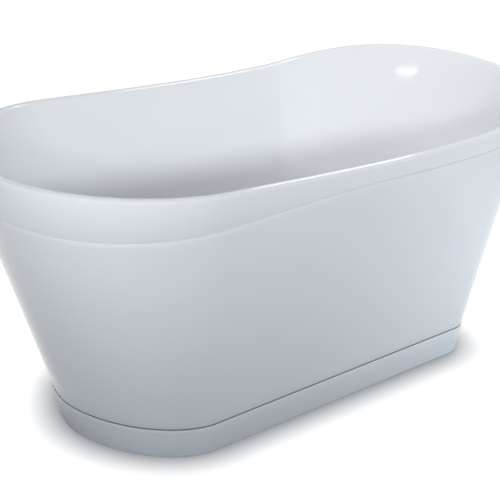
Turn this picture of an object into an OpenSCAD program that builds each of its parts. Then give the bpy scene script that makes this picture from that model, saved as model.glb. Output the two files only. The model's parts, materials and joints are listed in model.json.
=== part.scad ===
// Freestanding bathtub with straight sides and rounded ends. A moulded basin with
// a rolled rim hangs in a tapering outer skirt, which stands on a low plinth.
// Frame: +X towards the backrest end, +Y across, +Z up. The origin is on the
// floor under the middle of the rim. All sizes are in millimetres.

/* [Rim] */
// Length over the rim
tub_length = 1500; // [1400:10:1600]
// Width over the rim
tub_width = 844; // [800:2:900]
// Height of the rim at its lowest place
rim_height = 666; // [620:1:720]
// How much higher the rim is at the foot end
foot_rise = 41; // [0:1:60]
// How much higher the rim is at the backrest end
head_rise = 43; // [0:1:60]
// Length of the rise towards the foot end
foot_rise_length = 981; // [750:1:1000]
// Length of the rise towards the backrest end
head_rise_length = 429; // [350:1:650]
// Length of the rounded foot end of the rim
rim_foot_round = 367; // [300:1:420]
// Length of the rounded backrest end of the rim
rim_head_round = 370; // [300:1:420]
// Radius of the roll along the top of the rim
roll_r = 11; // [9:0.5:12]
// Height of the band under the rim along the sides
band_side = 44; // [42:1:60]
// Height of the band under the rim at the foot end
band_foot = 107; // [70:1:120]
// Length over which the band deepens towards the foot end
band_length = 808; // [750:1:870]
// How far the band's lower edge is set in at the foot end
band_tuck = 20; // [0:1:28]
// Thickness of the band
band_wall = 6; // [5:0.5:7]

/* [Basin] */
// Thickness of the basin's walls and floor
basin_wall = 7; // [6:0.5:8]
// Height of the basin's floor at its edge
floor_height = 150; // [146:1:160]
// Fall of the basin's floor towards the drain
floor_fall = 4; // [2:0.5:6]
// How far the floor's foot end is set in from the rim
floor_foot_in = 323; // [310:1:335]
// How far the floor's backrest end is set in from the rim
floor_head_in = 530; // [510:1:545]
// How far the floor's sides are set in from the rim
floor_side_in = 222; // [207:1:232]
// Length of the rounded foot end of the floor
floor_foot_round = 150; // [120:1:180]
// Length of the rounded backrest end of the floor
floor_head_round = 130; // [110:1:160]
// Share of the inward run that a wall makes before its bend into the floor
wall_run = 0.78; // [0.7:0.01:0.85]
// Share of the wall's height that is straight
wall_straight = 0.72; // [0.6:0.01:0.8]

/* [Skirt and plinth] */
// Thickness of the outer skirt
skirt_wall = 5; // [4:0.5:6]
// Height of the tongue on the skirt behind the band
tongue_height = 14; // [10:1:16]
// Gap between the band's lower edge and the skirt's shoulder
joint_gap = 1.6; // [1:0.1:2.4]
// Height of the plinth's top edge
plinth_height = 80; // [76:1:84]
// Height of the shadow gap between plinth and skirt
shadow_gap = 4; // [3:0.5:6]
// How far the skirt's lower edge is set in from the rim at the foot end
base_foot_in = 158; // [150:1:170]
// How far the skirt's lower edge is set in from the rim at the backrest end
base_head_in = 221; // [210:1:230]
// How far the skirt's lower edge is set in from the rim at the sides
base_side_in = 121; // [112:1:126]
// Length of the rounded foot end of the base
base_foot_round = 228; // [210:1:250]
// Length of the rounded backrest end of the base
base_head_round = 120; // [105:1:150]
// Gap between the plinth and the floor
plinth_lift = 2; // [1:0.5:3]
// How far the plinth's lower edge is set in
plinth_tuck = 3; // [1:0.5:5]
// Width of the flanges inside the skirt and the plinth
flange_w = 30; // [26:1:36]
// Thickness of the flanges inside the skirt and the plinth
flange_t = 5; // [4:0.5:6]

/* [Frame] */
// Outer size of the square frame tube
tube_size = 30; // [25:1:32]
// Wall of the frame tube
tube_wall = 2; // [1.5:0.5:3]
// Thickness of the brackets between the frame and the skirt's flange
bracket_t = 4; // [4:0.5:5]
// How far each rail's middle is set in from the side of the basin's floor
rail_side_in = 60; // [54:1:68]
// How far the rails stop short of the skirt's foot end
rail_foot_in = 142; // [122:1:157]
// How far the rails stop short of the skirt's backrest end
rail_head_in = 99; // [89:1:109]
// Distance of the foot cross member from the rails' foot end
foot_cross_in = 250; // [235:5:275]
// Distance of the middle cross member from the board's backrest end
middle_cross_in = 90; // [85:5:110]
// Distance of the head cross member from the rails' backrest end
head_cross_in = 30; // [20:1:32]
// How far the board's foot end is set in from the basin's floor
board_foot_in = 27; // [17:1:32]
// How far the board's backrest end is set in from the basin's floor
board_head_in = 30; // [20:1:40]
// How far the board's sides are set in from the basin's floor
board_side_in = 40; // [30:1:42]
// Diameter of the hole in the board around the waste
board_hole_d = 112; // [106:1:116]
// Distance of the front brackets from the rails' foot end
front_bracket_in = 250; // [230:5:270]
// Distance of the rear brackets from the rails' backrest end
rear_bracket_in = 180; // [160:5:200]
// Width of a skirt bracket
bracket_w = 40; // [36:1:46]

/* [Levelling feet] */
// Distance of the front feet from the rails' foot end
front_foot_in = 50; // [40:1:60]
// Distance of the rear feet from the rails' backrest end
rear_foot_in = 60; // [55:1:80]
// Diameter of a foot's stud
stud_d = 12; // [10:1:12]
// Length of a stud above its cup
stud_len = 118; // [116:1:120]
// Diameter of a foot's pad
pad_d = 60; // [50:1:66]
// Thickness of a foot's rubber pad
pad_t = 8; // [6:0.5:10]
// Diameter of the cup on a stud
cup_d = 50; // [40:1:54]
// Height of the cup on a stud
cup_h = 8; // [6:0.5:10]
// Thickness of the plate that holds a stud
plate_t = 4; // [3:0.5:5]
// How far the plate's underside is above the frame's underside
plate_lift = 4; // [2:0.5:6]
// Size of the nuts across their flats
nut_flats = 19; // [17:0.5:22]
// Height of an adjusting nut
adjuster_h = 10; // [8:0.5:11]
// Height of a lock nut
lock_h = 6; // [5:0.5:7]

/* [Waste] */
// Distance of the drain from the foot end of the basin's floor
drain_in = 97; // [92:1:102]
// Diameter of the drain hole in the basin
drain_hole_d = 52; // [51:0.5:54]
// Diameter of the drain flange
drain_flange_d = 72; // [68:1:76]
// Bore of the drain flange
drain_bore_d = 42; // [40:0.5:43]
// Diameter of the plug
plug_d = 58; // [54:1:62]
// How far the plug lifts
plug_lift = 9; // [6:0.5:11]
// Diameter of the waste body
waste_d = 60; // [58:0.5:64]
// Height of the overflow's inlet on the waste body
port_z = 105; // [104:0.5:107]
// Outer diameter of the waste pipe
pipe_d = 40; // [38:0.5:41]
// Wall of the plastic waste parts
pipe_wall = 3; // [2.5:0.1:3.5]
// Diameter of the trap
trap_d = 76; // [74:1:80]
// Height of the trap's underside
trap_base = 8; // [6:0.5:9]
// Height of the trap's top
trap_top = 73; // [72:0.5:74]
// Height of the trap's outlet axis
trap_axis_z = 47; // [45:0.5:47.5]
// Height of the axis of the trap's cleaning cap
cleaning_z = 34; // [32:0.5:36]
// Distance from the drain to the outlet
outlet_run = 162; // [155:1:170]
// Radius of the outlet's bend
outlet_bend_r = 26; // [24:0.5:27]
// Height of the outlet's lower end above the floor
outlet_end = 5; // [4:0.5:7]

/* [Overflow] */
// Height of the overflow on the foot wall
overflow_z = 530; // [515:1:540]
// Diameter of the hole for the overflow
overflow_hole_d = 52; // [48:1:54]
// Diameter of the overflow's face plate
overflow_plate_d = 72; // [68:1:76]
// Diameter of the turning knob
knob_d = 64; // [58:1:66]
// How far the overflow's gasket stands off the wall's middle, which the curved wall needs
face_stand = 1.9; // [1.8:0.1:2.4]
// Depth of the overflow's body behind the wall
overflow_depth = 31; // [30:0.5:32]
// Diameter of the overflow's body
overflow_body_d = 60; // [58:0.5:61]
// Outer diameter of the overflow pipe
overflow_pipe_d = 28; // [26:0.5:29]
// Wall of the overflow pipe
overflow_pipe_wall = 2.4; // [2:0.1:3]
// Diameter of the control cable
cable_d = 5; // [4:0.5:6]

/* [Clearances] */
// Clearance of screws, studs and pins in their holes
hole_gap = 0.5; // [0.3:0.1:0.8]
// Clearance where a piece is only set against another
seat_gap = 0.3; // [0.2:0.05:0.5]
// Radial clearance of a part that turns or slides in its guide
run_gap = 0.08; // [0.05:0.01:0.1]

/* [Hidden] */

half_len = tub_length/2;
half_w = tub_width/2;
floor_foot = half_len - floor_foot_in;
floor_head = half_len - floor_head_in;
floor_half_w = half_w - floor_side_in;
base_foot = half_len - base_foot_in;
base_head = half_len - base_head_in;
base_half_w = half_w - base_side_in;
drain_x = drain_in - floor_foot;
outlet_x = drain_x + outlet_run;

// Segments along a rounded end and along a straight side
END_STEPS = 22;
SIDE_STEPS = 12;
N = 2*(END_STEPS + SIDE_STEPS);
ACRYLIC = [0.93, 0.94, 0.96];
DARK = [0.16, 0.16, 0.17];
STEEL = [0.62, 0.64, 0.66];
CHROME = [0.82, 0.83, 0.85];
PLASTIC = [0.85, 0.86, 0.86];
RUBBER = [0.12, 0.12, 0.12];
WOOD = [0.72, 0.58, 0.4];

// Outlines. A plan is [foot, head, half width, foot round, head round, foot power, head power]
RIM_PLAN = [half_len, half_len, half_w, rim_foot_round, rim_head_round, 2, 2];
FLOOR_PLAN = [floor_foot, floor_head, floor_half_w, floor_foot_round, floor_head_round, 2.3, 2.6];
BASE_PLAN = [base_foot, base_head, base_half_w, base_foot_round, base_head_round, 1.75, 2.4];

function smooth(t) = let (u = min(max(t, 0), 1)) u*u*(3 - 2*u);
function mix(a, b, t) = a + (b - a)*t;
function power(v, p) = sign(v)*pow(abs(v), p);

// Which stretch of the outline a step is on: 0 head end, 1 far side, 2 foot end, 3 near side
function stretch(i) = i < END_STEPS ? 0 : i < END_STEPS + SIDE_STEPS ? 1 :
  i < 2*END_STEPS + SIDE_STEPS ? 2 : 3;
function end_angle(i) = i < END_STEPS ? -90 + 180*i/END_STEPS :
  90 + 180*(i - END_STEPS - SIDE_STEPS)/END_STEPS;
function side_share(i) = (i - (stretch(i) == 1 ? END_STEPS : 2*END_STEPS + SIDE_STEPS))/SIDE_STEPS;

// Point of a plan at step i, seen from above
function plan_at(p, i) = let (s = stretch(i), a = end_angle(i), x0 = p[0] - p[3], x1 = p[1] - p[4])
  s == 0 ? [x1 + p[4]*power(cos(a), 2/p[6]), p[2]*power(sin(a), 2/p[6])] :
  s == 2 ? [-x0 + p[3]*power(cos(a), 2/p[5]), p[2]*power(sin(a), 2/p[5])] :
  s == 1 ? [mix(x1, -x0, side_share(i)), p[2]] : [mix(-x0, x1, side_share(i)), -p[2]];

// Outward direction of a plan at step i
function unit(v) = v/norm(v);
function normal_at(p, i) = let (s = stretch(i), a = end_angle(i),
    e = s == 0 ? p[4] : p[3], n = s == 0 ? p[6] : p[5], k = 2*(n - 1)/n)
  s == 1 ? [0, 1] : s == 3 ? [0, -1] :
  unit([power(cos(a), k)/e, power(sin(a), k)/p[2]]);

// Height of the rim's top
function rim_z(x) = rim_height
  + foot_rise*smooth(1 - (half_len + x)/foot_rise_length)
  + head_rise*smooth(1 - (half_len - x)/head_rise_length);

// The band under the rim deepens and tucks in towards the foot end
function foot_share(x) = smooth(1 - (half_len + x)/band_length);
function band_z(x) = rim_z(x) - mix(band_side, band_foot, foot_share(x));
function tuck(x) = band_tuck*foot_share(x);

// Solid between rings of points, closed round each ring. The last ring joins the first
module ring_solid(rings) {
  m = len(rings);
  n = len(rings[0]);
  polyhedron(points = [for (r = rings) each r],
    faces = [for (k = [0:m - 1], i = [0:n - 1])
      let (a = k*n + i, b = k*n + (i + 1)%n, c = ((k + 1)%m)*n + (i + 1)%n, d = ((k + 1)%m)*n + i)
      each [[a, c, b], [a, d, c]]]);
}

// Point of the outline moved outwards by d, at height z
function out_point(p, i, d, z) = let (q = plan_at(p, i) + d*normal_at(p, i)) [q[0], q[1], z];
function plan_ring(p, d, z) = [for (i = [0:N - 1]) out_point(p, i, d, z)];

// Lean of the basin's wall from upright at step i, from its run to the floor
function floor_point(i) = plan_at(FLOOR_PLAN, i);
function wall_lean(i) = let (a = plan_at(RIM_PLAN, i), b = floor_point(i), n = normal_at(RIM_PLAN, i))
  atan2(wall_run*((a - b)*n - 2*roll_r), rim_z(a[0]) - roll_r - floor_height);

// The roll: a point at an angle round its centre, measured from outwards and level
function roll_point(i, angle) = let (a = plan_at(RIM_PLAN, i), n = normal_at(RIM_PLAN, i),
    q = a + n*(roll_r*cos(angle) - roll_r))
  [q[0], q[1], rim_z(a[0]) - roll_r + roll_r*sin(angle)];

// Place on the band's lower edge, d inside its face and dz above it
function band_point(i, d, dz) = let (a = plan_at(RIM_PLAN, i), n = normal_at(RIM_PLAN, i),
    q = a - n*(tuck(a[0]) + d))
  [q[0], q[1], band_z(a[0]) + dz];

// The wall leaves the roll straight and bends into the floor. t runs from 0 to 1.
// shift moves it outwards along the level and drop moves it down, for the back of the wall
function wall_step(t, corner) = t < 0.5 ? corner*wall_straight*2*t :
  let (s = 2*t - 1, a = corner*wall_straight, b = corner)
  mix(mix(a, b, s), mix(b, 1, s), s);
function wall_point(i, t, out, drop) = let (lean = wall_lean(i), top = roll_point(i, 180 - lean),
    f = floor_point(i), n = normal_at(RIM_PLAN, i), u = wall_step(t, wall_run), w = wall_step(t, 1))
  [mix(top[0], f[0], u) + n[0]*out, mix(top[1], f[1], u) + n[1]*out,
   mix(top[2], floor_height, w) - drop];

// Rings of the floor. The first is a share s of the way from its edge to the drain's seat,
// and the second is a circle round the drain
drain_c = [drain_x, 0];
drain_seat_r = drain_flange_d/2 + 1;
function floor_ring(s, z) = [for (i = [0:N - 1]) let (f = floor_point(i),
    d = drain_c + unit(f - drain_c)*drain_seat_r) [mix(f[0], d[0], s), mix(f[1], d[1], s), z]];
function drain_ring(r, z) = [for (i = [0:N - 1]) let (d = drain_c + unit(floor_point(i) - drain_c)*r)
  [d[0], d[1], z]];
floor_drain_z = floor_height - floor_fall;
floor_under_z = floor_drain_z - basin_wall;
// Depth of the hollow behind the band, up to the solid underside of the roll
roll_depth = 2.4*roll_r;

WALL_STEPS = [for (k = [0:4]) k/8, for (k = [1:7]) 0.5 + k/14];
ROLL_STEPS = 8;
function back_share(t) = t < 0.5 ? 0 : 2*t - 1;

// Lean of the foot wall and place of its face at the overflow
foot_lean = wall_lean(END_STEPS + SIDE_STEPS + END_STEPS/2);
rim_foot_z = rim_z(-half_len);
overflow_x = -half_len + roll_r*(1 + cos(foot_lean))
  + (rim_foot_z - roll_r*(1 - sin(foot_lean)) - overflow_z)*tan(foot_lean);

module at_overflow() {
  translate([overflow_x, 0, overflow_z]) rotate([0, -90 - foot_lean, 0]) children();
}

module basin() {
  color(ACRYLIC) difference() {
    ring_solid([
      for (t = WALL_STEPS) [for (i = [0:N - 1]) wall_point(i, t, 0, 0)],
      floor_ring(0.5, mix(floor_height, floor_drain_z, 0.5)),
      floor_ring(1, floor_drain_z),
      drain_ring(drain_hole_d/3, floor_drain_z),
      drain_ring(drain_hole_d/3, floor_under_z),
      floor_ring(1, floor_under_z),
      floor_ring(0.5, mix(floor_height, floor_drain_z, 0.5) - basin_wall),
      for (k = [len(WALL_STEPS) - 1:-1:1]) let (s = back_share(WALL_STEPS[k]))
        [for (i = [0:N - 1]) wall_point(i, WALL_STEPS[k], basin_wall*(1 - s), basin_wall*s)],
      [for (i = [0:N - 1]) let (q = wall_point(i, 0, basin_wall, 0)) [q[0], q[1], q[2] - roll_r]],
      [for (i = [0:N - 1]) let (a = plan_at(RIM_PLAN, i), q = band_point(i, band_wall, 0))
        [q[0], q[1], rim_z(a[0]) - roll_depth]],
      [for (i = [0:N - 1]) band_point(i, band_wall, 0)],
      [for (i = [0:N - 1]) band_point(i, 0, 0)],
      for (k = [0:ROLL_STEPS - 1]) [for (i = [0:N - 1]) roll_point(i, (180 - wall_lean(i))*k/ROLL_STEPS)]
    ]);
    at_overflow() cylinder(d = overflow_hole_d, h = 6*basin_wall, center = true, $fn = 64);
    translate([drain_x, 0, floor_under_z - basin_wall])
      cylinder(d = drain_hole_d, h = 3*basin_wall, $fn = 64);
  }
}

// Outer skirt. Its tongue stands behind the band, and a flange inside its lower edge
// takes the screws that hold it to the frame and the plinth
skirt_z = plinth_height + shadow_gap;
bracket_z = skirt_z + flange_t;
frame_height = bracket_z + bracket_t;
rail_foot = base_foot - rail_foot_in;
rail_head = base_head - rail_head_in;
rail_y = floor_half_w - rail_side_in;
bracket_x = [front_bracket_in - rail_foot, rail_head - rear_bracket_in];
skirt_screw_y = base_half_w - (skirt_wall + flange_w)/2;
skirt_screw_d = 5;
skirt_screw_out = 2;
skirt_screw_end = plinth_height - flange_t - skirt_screw_out;
SIDES = [-1, 1];

module at_skirt_screws(z) {
  for (x = bracket_x, s = SIDES) translate([x, s*skirt_screw_y, z]) children();
}
module skirt_screw_holes() {
  at_skirt_screws(skirt_screw_end - 1) cylinder(d = skirt_screw_d + 2*hole_gap, h = bracket_z, $fn = 32);
}

module skirt() {
  tongue_d = band_wall + seat_gap;
  inner_d = tongue_d + skirt_wall;
  color(ACRYLIC) difference() {
    ring_solid([
      [for (i = [0:N - 1]) band_point(i, tongue_d, tongue_height)],
      [for (i = [0:N - 1]) band_point(i, tongue_d, -joint_gap)],
      [for (i = [0:N - 1]) band_point(i, 0, -joint_gap)],
      plan_ring(BASE_PLAN, 0, skirt_z),
      plan_ring(BASE_PLAN, -flange_w, skirt_z),
      plan_ring(BASE_PLAN, -flange_w, bracket_z),
      plan_ring(BASE_PLAN, -skirt_wall, bracket_z),
      [for (i = [0:N - 1]) band_point(i, inner_d, -joint_gap - 2*skirt_wall)],
      [for (i = [0:N - 1]) band_point(i, inner_d, tongue_height)]
    ]);
    skirt_screw_holes();
  }
}

module plinth() {
  edge = 4;
  toe = plinth_tuck + skirt_wall + 1;
  color(ACRYLIC) difference() {
    ring_solid([
      plan_ring(BASE_PLAN, 0, plinth_height),
      plan_ring(BASE_PLAN, -plinth_tuck, plinth_lift + edge),
      plan_ring(BASE_PLAN, -plinth_tuck - 0.3*edge, plinth_lift + 0.3*edge),
      plan_ring(BASE_PLAN, -plinth_tuck - edge, plinth_lift),
      plan_ring(BASE_PLAN, -toe, plinth_lift),
      plan_ring(BASE_PLAN, -toe, plinth_lift + 2*edge),
      plan_ring(BASE_PLAN, -skirt_wall, plinth_height - flange_t),
      plan_ring(BASE_PLAN, -flange_w, plinth_height - flange_t),
      plan_ring(BASE_PLAN, -flange_w, plinth_height)
    ]);
    skirt_screw_holes();
  }
}

// Dark strip set back in the gap between the plinth and the skirt
module shadow_gap_strip() {
  recess = 3;
  color(DARK) difference() {
    ring_solid([
      plan_ring(BASE_PLAN, -recess, skirt_z),
      plan_ring(BASE_PLAN, -recess, plinth_height),
      plan_ring(BASE_PLAN, -flange_w, plinth_height),
      plan_ring(BASE_PLAN, -flange_w, skirt_z)
    ]);
    skirt_screw_holes();
  }
}

// Bead that closes the joint between the band and the skirt, set back from their faces
module rim_joint_bead() {
  recess = 1.2;
  skin = 0.1;
  color(ACRYLIC) ring_solid([
    [for (i = [0:N - 1]) band_point(i, recess, -skin)],
    [for (i = [0:N - 1]) band_point(i, recess, skin - joint_gap)],
    [for (i = [0:N - 1]) band_point(i, band_wall, skin - joint_gap)],
    [for (i = [0:N - 1]) band_point(i, band_wall, -skin)]
  ]);
}

// Frame under the basin
frame_top = frame_height + tube_size;
board_top = floor_under_z - seat_gap;
board_foot = floor_foot - board_foot_in;
board_head = floor_head - board_head_in;
cross_x = [foot_cross_in - rail_foot, board_head - middle_cross_in, rail_head - head_cross_in];
board_half_w = floor_half_w - board_side_in;
board_t = board_top - frame_top;
// Screws up through each rail into the board: one near its foot end, two near its backrest end
board_screw_foot_in = 100;
board_screw_head_in = 40;
board_screw_step = 150;
rail_screw_x = [board_screw_foot_in - board_foot, board_head - board_screw_head_in - board_screw_step,
  board_head - board_screw_head_in];
frame_screw_d = 6;
screw_head_h = 3;
// How deep the frame's screws go into the board and into the rails
board_bite = 0.76*board_t;
rail_bite = 12;
// Clearance round a screw in the hole that it bites into
pilot_gap = 0.1;
rail_face_y = rail_y + tube_size/2;
plate_z = frame_height + plate_lift;
plate_half_w = 25;
stud_out = 27;
stud_y = rail_face_y + stud_out;
front_foot_x = front_foot_in - rail_foot;
rear_foot_x = rail_head - rear_foot_in;
middle_foot_x = cross_x[1] + tube_size/2 + stud_out;
FEET = [[front_foot_x, -stud_y], [front_foot_x, stud_y], [rear_foot_x, -stud_y],
  [rear_foot_x, stud_y], [middle_foot_x, 0]];

module at_rail_screws(z) {
  for (x = rail_screw_x, s = SIDES) translate([x, s*rail_y, z]) children();
}
module at_bracket_screws(z) {
  for (x = bracket_x, s = SIDES) translate([x, s*rail_y, z]) children();
}
module screw(d, length) {
  translate([0, 0, -screw_head_h]) cylinder(d = 2*d, h = screw_head_h, $fn = 32);
  cylinder(d = d, h = length, $fn = 32);
}

module floor_board() {
  cut = 30;
  color(WOOD) translate([0, 0, frame_top]) difference() {
    linear_extrude(board_t) polygon([
      [-board_foot, cut - board_half_w], [cut - board_foot, -board_half_w],
      [board_head - cut, -board_half_w], [board_head, cut - board_half_w],
      [board_head, board_half_w - cut], [board_head - cut, board_half_w],
      [cut - board_foot, board_half_w], [-board_foot, board_half_w - cut]]);
    translate([drain_x, 0, -1]) cylinder(d = board_hole_d, h = board_t + 2, $fn = 96);
    translate([middle_foot_x, 0, -1]) cylinder(d = 2*stud_d, h = board_t + 2, $fn = 48);
    at_rail_screws(-1) cylinder(d = frame_screw_d + 2*pilot_gap, h = board_bite + 2, $fn = 32);
  }
}

module square_tube(length) {
  inner = tube_size - 2*tube_wall;
  difference() {
    translate([0, -tube_size/2, 0]) cube([length, tube_size, tube_size]);
    translate([-1, -inner/2, tube_wall]) cube([length + 2, inner, inner]);
  }
}

module rail(side) {
  hole_d = frame_screw_d + 2*hole_gap;
  color(STEEL) difference() {
    translate([-rail_foot, side*rail_y, frame_height]) square_tube(rail_foot + rail_head);
    at_rail_screws(frame_height - 1) cylinder(d = hole_d, h = tube_size + 2, $fn = 32);
    at_bracket_screws(frame_height - 1) cylinder(d = hole_d, h = tube_size/2, $fn = 32);
  }
}

module near_rail() { rail(-1); }
module far_rail() { rail(1); }

module cross_member(k) {
  length = 2*rail_y - tube_size;
  color(STEEL) translate([cross_x[k], -length/2, frame_height]) rotate([0, 0, 90]) square_tube(length);
}
module foot_cross_member() { cross_member(0); }
module middle_cross_member() { cross_member(1); }
module head_cross_member() { cross_member(2); }

// Plates welded to the frame, one for each levelling foot
module foot_plates() {
  reach = stud_out + plate_half_w;
  color(STEEL) difference() {
    union() {
      for (x = [front_foot_x, rear_foot_x], y = [rail_face_y, -rail_face_y - reach])
        translate([x - plate_half_w, y, plate_z]) cube([2*plate_half_w, reach, plate_t]);
      translate([middle_foot_x - stud_out, -plate_half_w, plate_z])
        cube([reach, 2*plate_half_w, plate_t]);
    }
    for (f = FEET) translate([f[0], f[1], plate_z - 1])
      cylinder(d = stud_d + 2*hole_gap, h = plate_t + 2, $fn = 48);
  }
}

module frame_screws() {
  color(STEEL) {
    at_rail_screws(frame_height) screw(frame_screw_d, tube_size + board_bite);
    at_bracket_screws(bracket_z) screw(frame_screw_d, bracket_t + rail_bite);
  }
}

// Flat bars from the rails to the flange inside the skirt
module skirt_brackets() {
  screw_edge = 8;
  inner_y = rail_y - tube_size/2;
  outer_y = skirt_screw_y + screw_edge;
  hole_d = frame_screw_d + 2*hole_gap;
  color(STEEL) difference() {
    for (x = bracket_x, y = [inner_y, -outer_y])
      translate([x - bracket_w/2, y, bracket_z]) cube([bracket_w, outer_y - inner_y, bracket_t]);
    skirt_screw_holes();
    at_bracket_screws(bracket_z - 1) cylinder(d = hole_d, h = tube_size/2, $fn = 32);
  }
}

module skirt_screws() {
  color(STEEL) at_skirt_screws(frame_height) mirror([0, 0, 1])
    screw(skirt_screw_d, frame_height - skirt_screw_end);
}

// Levelling feet
module at_foot(k, z) { translate([FEET[k - 1][0], FEET[k - 1][1], z]) children(); }

module pad(k) {
  color(RUBBER) at_foot(k, 0) cylinder(d = pad_d, h = pad_t, $fn = 64);
}
module stud(k) {
  shoulder_d = 1.6*stud_d;
  color(STEEL) at_foot(k, pad_t) {
    cylinder(d = cup_d, h = cup_h/2, $fn = 64);
    cylinder(d1 = cup_d, d2 = shoulder_d, h = cup_h, $fn = 64);
    cylinder(d = stud_d, h = cup_h + stud_len, $fn = 48);
  }
}
module hex_nut(h) {
  difference() {
    cylinder(d = nut_flats/cos(30), h = h, $fn = 6);
    translate([0, 0, -1]) cylinder(d = stud_d + 2*run_gap, h = h + 2, $fn = 48);
  }
}
module adjuster_nut(k) { color(STEEL) at_foot(k, plate_z - run_gap - adjuster_h) hex_nut(adjuster_h); }
module lock_nut(k) { color(STEEL) at_foot(k, plate_z + plate_t + run_gap) hex_nut(lock_h); }

// Waste. The flange and the waste body clamp the basin's floor between two gaskets
flange_gasket_t = 1.5;
flange_gasket_in = 2;
waste_gasket_t = 3;
waste_gasket_out = 10;
waste_flange_t = 5;
waste_flange_out = 12;
drain_flange_t = 3;
flange_z = floor_drain_z + flange_gasket_t;
waste_top = floor_under_z - waste_gasket_t;
// The plug's seat in the flange, which slopes in to the bore
seat_w = 6;
seat_depth = 1.5;
seat_edge = 0.6;
// How far the plug's cap lies above the flange
cap_gap = 0.5;
spigot_d = drain_bore_d + 2*pipe_wall;
spigot_len = 30;
socket_d = spigot_d + 2*seat_gap;
hose_bore_d = overflow_pipe_d - 2*overflow_pipe_wall;
port_d = hose_bore_d - 2*seat_gap;
port_wall = 2;
port_len = 26;
port_x = drain_x - waste_d/2 - port_len;
chamber_z = port_z - waste_d/4;
stem_d = 8;
// Length of the stem still in its guide when the plug is up
stem_hold = 3;
neck_d = 28;
gland_d = cable_d + 4;
gland_y = 22;
// Height of the lower end of the waste body's tail, inside the trap
dip_end = 20;

module at_drain(z) { translate([drain_x, 0, z]) children(); }
module along_x(x, y, z) { translate([x, y, z]) rotate([0, 90, 0]) children(); }
module washer(d_out, d_in, h) {
  difference() {
    cylinder(d = d_out, h = h, $fn = 96);
    translate([0, 0, -1]) cylinder(d = d_in, h = h + 2, $fn = 96);
  }
}

module flange_gasket() {
  color(RUBBER) at_drain(floor_drain_z)
    washer(drain_flange_d - 2*flange_gasket_in, drain_hole_d, flange_gasket_t);
}
module waste_gasket() {
  color(RUBBER) at_drain(waste_top)
    washer(waste_d + 2*waste_gasket_out, drain_hole_d, waste_gasket_t);
}

module drain_flange() {
  bore = drain_bore_d/2;
  rim = drain_flange_d/2;
  bevel = 2.5;
  color(CHROME) at_drain(flange_z) rotate_extrude($fn = 96) polygon([
    [bore, -spigot_len], [bore, -seat_depth], [bore + seat_w, drain_flange_t - seat_edge],
    [bore + seat_w + seat_edge, drain_flange_t], [rim - bevel, drain_flange_t],
    [rim - bevel/4, drain_flange_t - bevel/3], [rim, 0], [spigot_d/2, 0], [spigot_d/2, -spigot_len]]);
}

// Web across the waste body's chamber, with a guide for the plug's stem
module stem_guide(h) {
  web = 3;
  difference() {
    union() {
      for (a = [30, 150]) rotate([0, 0, a])
        translate([-socket_d/2 - 1, -web/2, 0]) cube([socket_d + 2, web, h]);
      cylinder(d = stem_d + 2*web, h = h, $fn = 48);
    }
    translate([0, 0, -1]) cylinder(d = stem_d + 2*run_gap, h = h + 2, $fn = 48);
  }
}

module waste_body() {
  tail_bore_d = pipe_d - 2*pipe_wall;
  guide_h = plug_lift + stem_hold;
  color(PLASTIC) union() {
    difference() {
      union() {
        at_drain(waste_top - waste_flange_t)
          cylinder(d = waste_d + 2*waste_flange_out, h = waste_flange_t, $fn = 96);
        at_drain(chamber_z) cylinder(d = waste_d, h = waste_top - chamber_z, $fn = 96);
        at_drain(dip_end) cylinder(d = pipe_d, h = chamber_z - dip_end + 1, $fn = 96);
        along_x(port_x, 0, port_z) cylinder(d = port_d, h = port_len + waste_d/4, $fn = 64);
        along_x(port_x + port_len/2, gland_y, port_z)
          cylinder(d = gland_d, h = port_len/2 + waste_d/4, $fn = 48);
      }
      at_drain(chamber_z + pipe_wall) cylinder(d = socket_d, h = waste_top, $fn = 96);
      at_drain(dip_end - 1) cylinder(d = tail_bore_d, h = waste_top, $fn = 96);
      along_x(port_x - 1, 0, port_z)
        cylinder(d = port_d - 2*port_wall, h = port_len + waste_d/4, $fn = 64);
    }
    at_drain(chamber_z + 1) stem_guide(guide_h);
  }
}

module plug() {
  cap_z = flange_z + drain_flange_t + cap_gap;
  edge = 1;
  crown = 5;
  neck_foot = 2;
  color(CHROME) at_drain(0) rotate_extrude($fn = 96) polygon([
    [0, chamber_z], [stem_d/2, chamber_z], [stem_d/2, flange_z - 2*neck_foot],
    [neck_d/2, flange_z - neck_foot], [neck_d/2, cap_z], [plug_d/2 - edge, cap_z],
    for (k = [8:-1:0]) [plug_d/2*sin(90*k/8), cap_z + edge + crown*cos(90*k/8)]]);
}

// Rubber ring on the plug's neck, a hair above the flange's seat
module plug_seal() {
  lift = 0.2;
  bore = drain_bore_d/2;
  edge = bore + seat_w - 2*lift;
  top = drain_flange_t + cap_gap;
  color(RUBBER) at_drain(flange_z) rotate_extrude($fn = 96) polygon([
    [neck_d/2, lift - seat_depth], [bore - lift, lift - seat_depth],
    [edge, drain_flange_t + lift - seat_edge], [edge, top], [neck_d/2, top]]);
}

// Trap. The waste body's tail dips into it through a seal and a nut
collar_wall = 5;
collar_d = pipe_d + 2*collar_wall;
collar_h = 8;
nut_wall = 4;
nut_lip = 2;
seal_h = 2;
stub_len = 20;
stub_end_x = drain_x + trap_d/2 + stub_len;

// Threaded collar's nut: a sleeve with a lip, with a seal under the lip
module union_nut() {
  difference() {
    cylinder(d = collar_d + 2*nut_wall, h = collar_h + seal_h + nut_lip, $fn = 24);
    translate([0, 0, -1]) cylinder(d = collar_d + 2*seat_gap, h = collar_h + seal_h + 1, $fn = 64);
    cylinder(d = pipe_d + 2*seat_gap, h = 3*collar_h, $fn = 64);
  }
}
module pipe_seal() { color(RUBBER) washer(collar_d - 2, pipe_d + 2*pilot_gap, seal_h); }

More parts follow.
